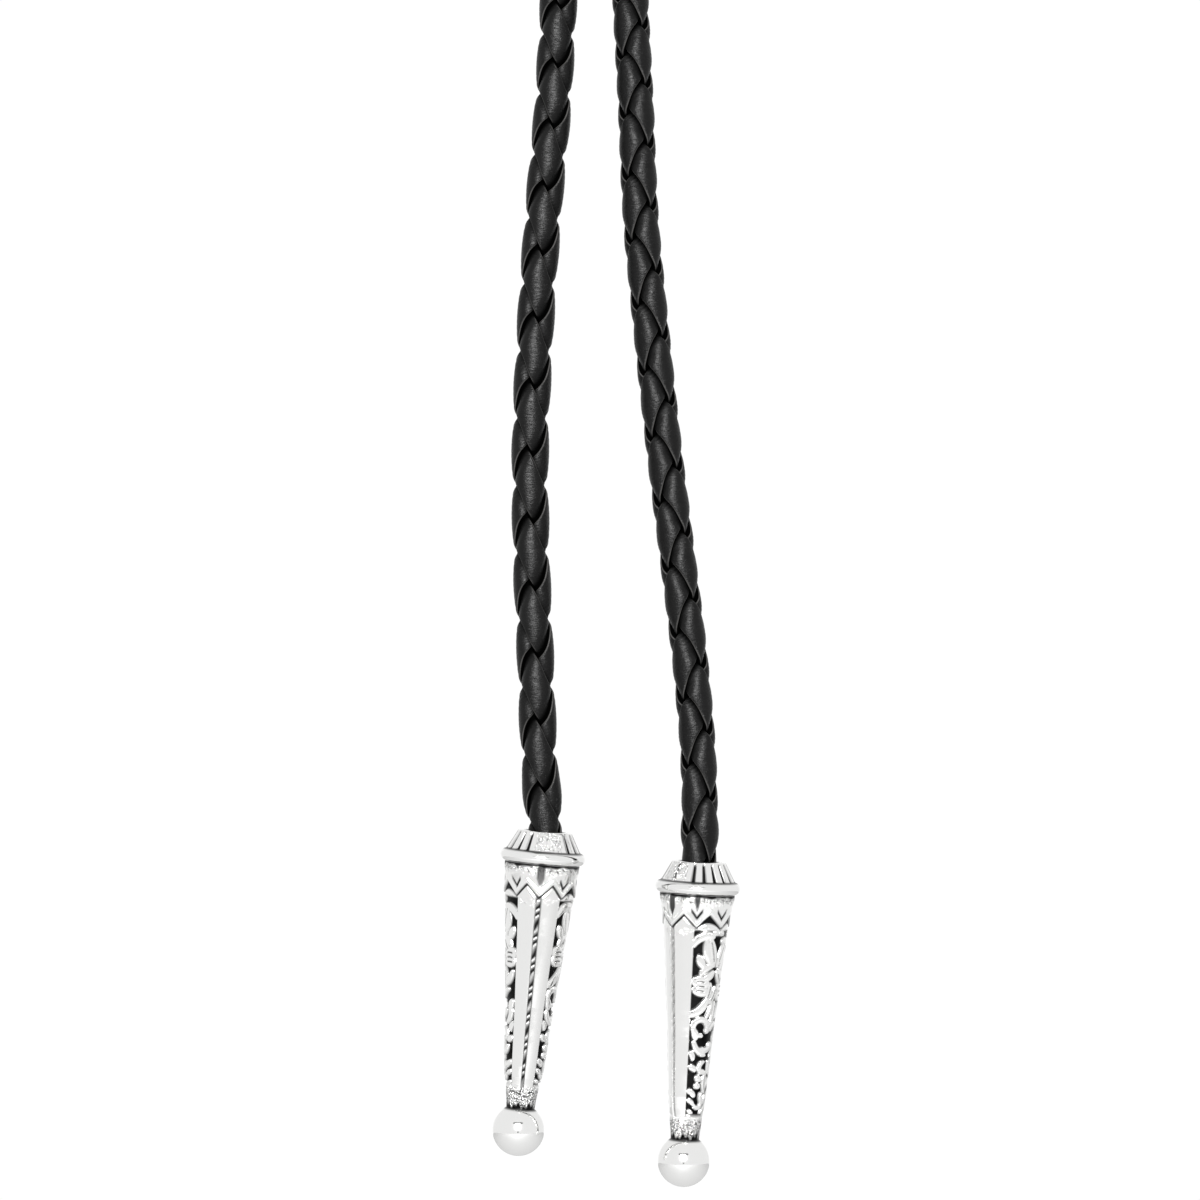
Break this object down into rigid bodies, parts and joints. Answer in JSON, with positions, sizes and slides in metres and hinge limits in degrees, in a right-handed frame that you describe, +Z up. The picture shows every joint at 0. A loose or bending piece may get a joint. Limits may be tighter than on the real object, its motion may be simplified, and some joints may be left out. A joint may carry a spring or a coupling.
{
  "type": "bolo tie",
  "caption": "Bolo tie: a braided black leather cord round the neck, gathered by an oval metal slide, with two free tails ending in engraved cast silver-tone tips.",
  "frame": {"origin": "middle of the neck opening, level with the nape, where the wearer's neck holds the cord", "axes": "+Z up, -Y to the wearer's front, +X to the right as seen from the front"},
  "size_m": [0.1292, 0.1475, 0.3716],
  "materials": {
    "leather": "black dyed leather lace, round four-strand braid, satin",
    "silver": "antiqued silver plate on a casting, polished high spots and black oxidised recesses"
  },
  "bodies": {
    "root": {"neck_cord": "leather", "left_tail_cord": "leather", "right_tail_cord": "leather", "slide": "silver", "left_tip": "silver", "right_tip": "silver"}
  },
  "joints": []
}
